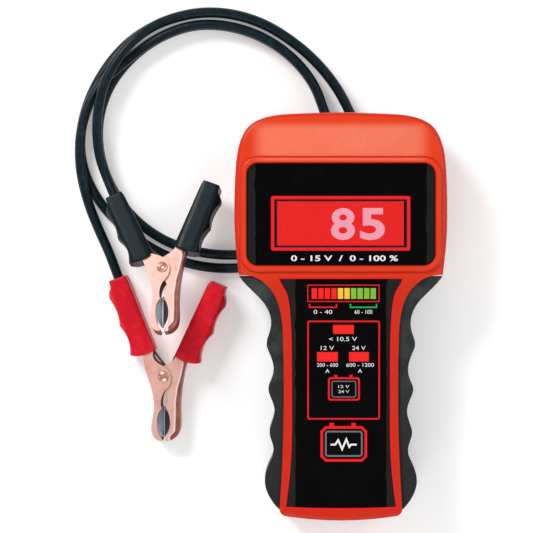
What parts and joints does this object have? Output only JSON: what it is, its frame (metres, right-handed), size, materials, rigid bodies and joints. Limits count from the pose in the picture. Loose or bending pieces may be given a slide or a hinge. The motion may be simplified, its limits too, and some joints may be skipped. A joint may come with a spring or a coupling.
{
  "type": "battery tester",
  "caption": "Handheld electronic battery tester with a red digital display, keypad, rubber side grips and two leads that end in spring clamps.",
  "frame": {"origin": "under the middle of the tester, on the surface that its back lies on", "axes": "+Y towards the head, +Z out of the display face, +X to the right seen from the front"},
  "size_m": [0.2255, 0.3107, 0.048],
  "materials": {
    "case": "satin",
    "rubber": "matt",
    "lens": "gloss",
    "red_filter": "gloss",
    "overlay": "satin",
    "red_light": "satin",
    "amber_light": "satin",
    "green_light": "satin",
    "clear_plastic": "clear",
    "key_black": "matt",
    "dome_rubber": "matt",
    "carbon": "matt",
    "board": "satin",
    "black_plastic": "matt",
    "aluminium": "anodised",
    "steel": "plated",
    "spring_steel": "plain",
    "terminal_plastic": "satin",
    "brass": "plain",
    "cord_black": "satin",
    "grip_black": "satin",
    "grip_red": "satin",
    "copper": "bright"
  },
  "bodies": {
    "tester": {"front_case": "case", "rear_case": "case", "case_screws": "steel", "head_feet": "rubber", "left_grip": "rubber", "right_grip": "rubber", "display_window": "lens", "display_filter": "red_filter", "display_module": "black_plastic", "keypad_overlay": "overlay", "bar_windows_red": "red_light", "bar_windows_amber": "amber_light", "bar_windows_green": "green_light", "lamp_windows": "red_light", "bar_array": "black_plastic", "lamp_emitters": "clear_plastic", "test_dome": "dome_rubber", "selector_dome": "dome_rubber", "contact_pads": "carbon", "main_board": "board", "board_screws": "steel", "board_parts": "black_plastic", "load_resistor": "aluminium", "resistor_clamps": "steel", "terminal_block": "terminal_plastic", "terminal_screws": "brass", "black_lead_grommet": "rubber", "red_lead_grommet": "rubber", "black_lead": "cord_black", "red_lead": "cord_black", "black_cable_jaw": "copper", "black_cable_teeth": "steel", "black_cable_grip": "grip_black", "black_rivet": "copper", "black_spring": "spring_steel", "red_cable_jaw": "copper", "red_cable_teeth": "steel", "red_cable_grip": "grip_red", "red_rivet": "copper", "red_spring": "spring_steel"},
    "test_key": {"test_button": "key_black"},
    "selector_key": {"selector_button": "key_black"},
    "black_clamp_half": {"black_free_jaw": "copper", "black_free_teeth": "steel", "black_free_grip": "grip_black"},
    "red_clamp_half": {"red_free_jaw": "copper", "red_free_teeth": "steel", "red_free_grip": "grip_red"}
  },
  "joints": [
    {"name": "test_button_press", "type": "slide", "parent": "tester", "child": "test_key", "axis": [0, 0, -1], "range_m": [0, 0.001], "stiffness_N_per_m": 900, "springref_m": -0.0006, "deforming": ["test_dome"]},
    {"name": "selector_button_press", "type": "slide", "parent": "tester", "child": "selector_key", "axis": [0, 0, -1], "range_m": [0, 0.001], "stiffness_N_per_m": 900, "springref_m": -0.0006, "deforming": ["selector_dome"]},
    {"name": "black_clamp_open", "type": "hinge", "parent": "tester", "child": "black_clamp_half", "pos_m": [-0.1072, 0.0283, 0.0272], "axis": [-0.0872, 0.2275, 0.9699], "range_deg": [0, 30], "stiffness_Nm_per_rad": 0.8, "springref_deg": -20.05, "deforming": ["black_spring"]},
    {"name": "red_clamp_open", "type": "hinge", "parent": "tester", "child": "red_clamp_half", "pos_m": [-0.1068, -0.0365, 0.0091], "axis": [-0.0872, -0.0435, 0.9952], "range_deg": [0, 30], "stiffness_Nm_per_rad": 0.8, "springref_deg": -20.05, "deforming": ["red_spring"]}
  ]
}
